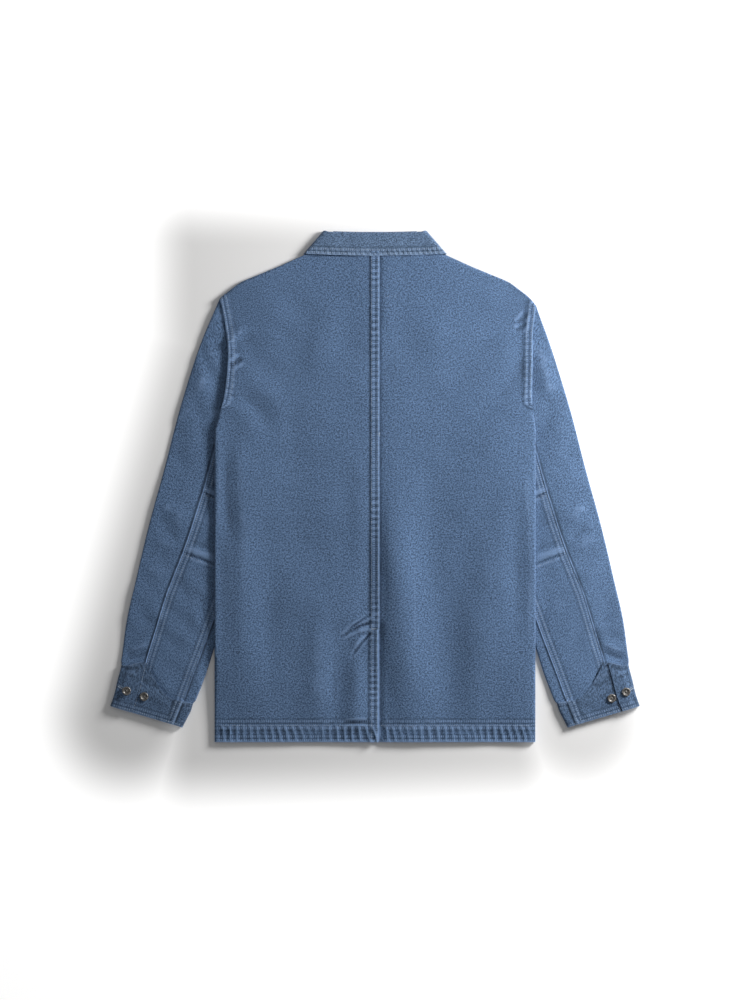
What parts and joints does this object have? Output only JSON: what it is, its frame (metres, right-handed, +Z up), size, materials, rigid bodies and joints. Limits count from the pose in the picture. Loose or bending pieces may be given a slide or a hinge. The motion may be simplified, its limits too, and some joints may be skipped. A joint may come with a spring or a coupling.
{
  "type": "chore jacket",
  "caption": "Washed blue canvas chore jacket laid flat on its fronts, back up, with a centre vent, felled seams, a fold-down collar and button cuffs on long sleeves.",
  "frame": {"origin": "middle of the jacket's outline, on the surface that it lies on", "axes": "+Z up, out of the back; +Y towards the collar; the wearer's left sleeve is at -X"},
  "size_m": [0.7786, 0.752, 0.012],
  "materials": {
    "back": "washed canvas, matt",
    "front": "washed canvas, matt",
    "sleeve": "washed canvas, matt",
    "collar": "washed canvas, matt",
    "cuff": "washed canvas, matt",
    "button": "dark worn metal"
  },
  "bodies": {
    "root": {"back_left": "back", "back_right": "back", "front_left": "front", "front_right": "front", "top_sleeve_left": "sleeve", "top_sleeve_right": "sleeve", "under_sleeve_left": "sleeve", "under_sleeve_right": "sleeve", "cuff_left": "cuff", "cuff_right": "cuff", "collar_fall": "collar", "collar_stand": "collar", "cuff_button_left_outer": "button", "cuff_button_left_inner": "button", "cuff_button_right_outer": "button", "cuff_button_right_inner": "button", "front_button_1": "button", "front_button_2": "button", "front_button_3": "button", "front_button_4": "button", "front_button_5": "button"}
  },
  "joints": []
}
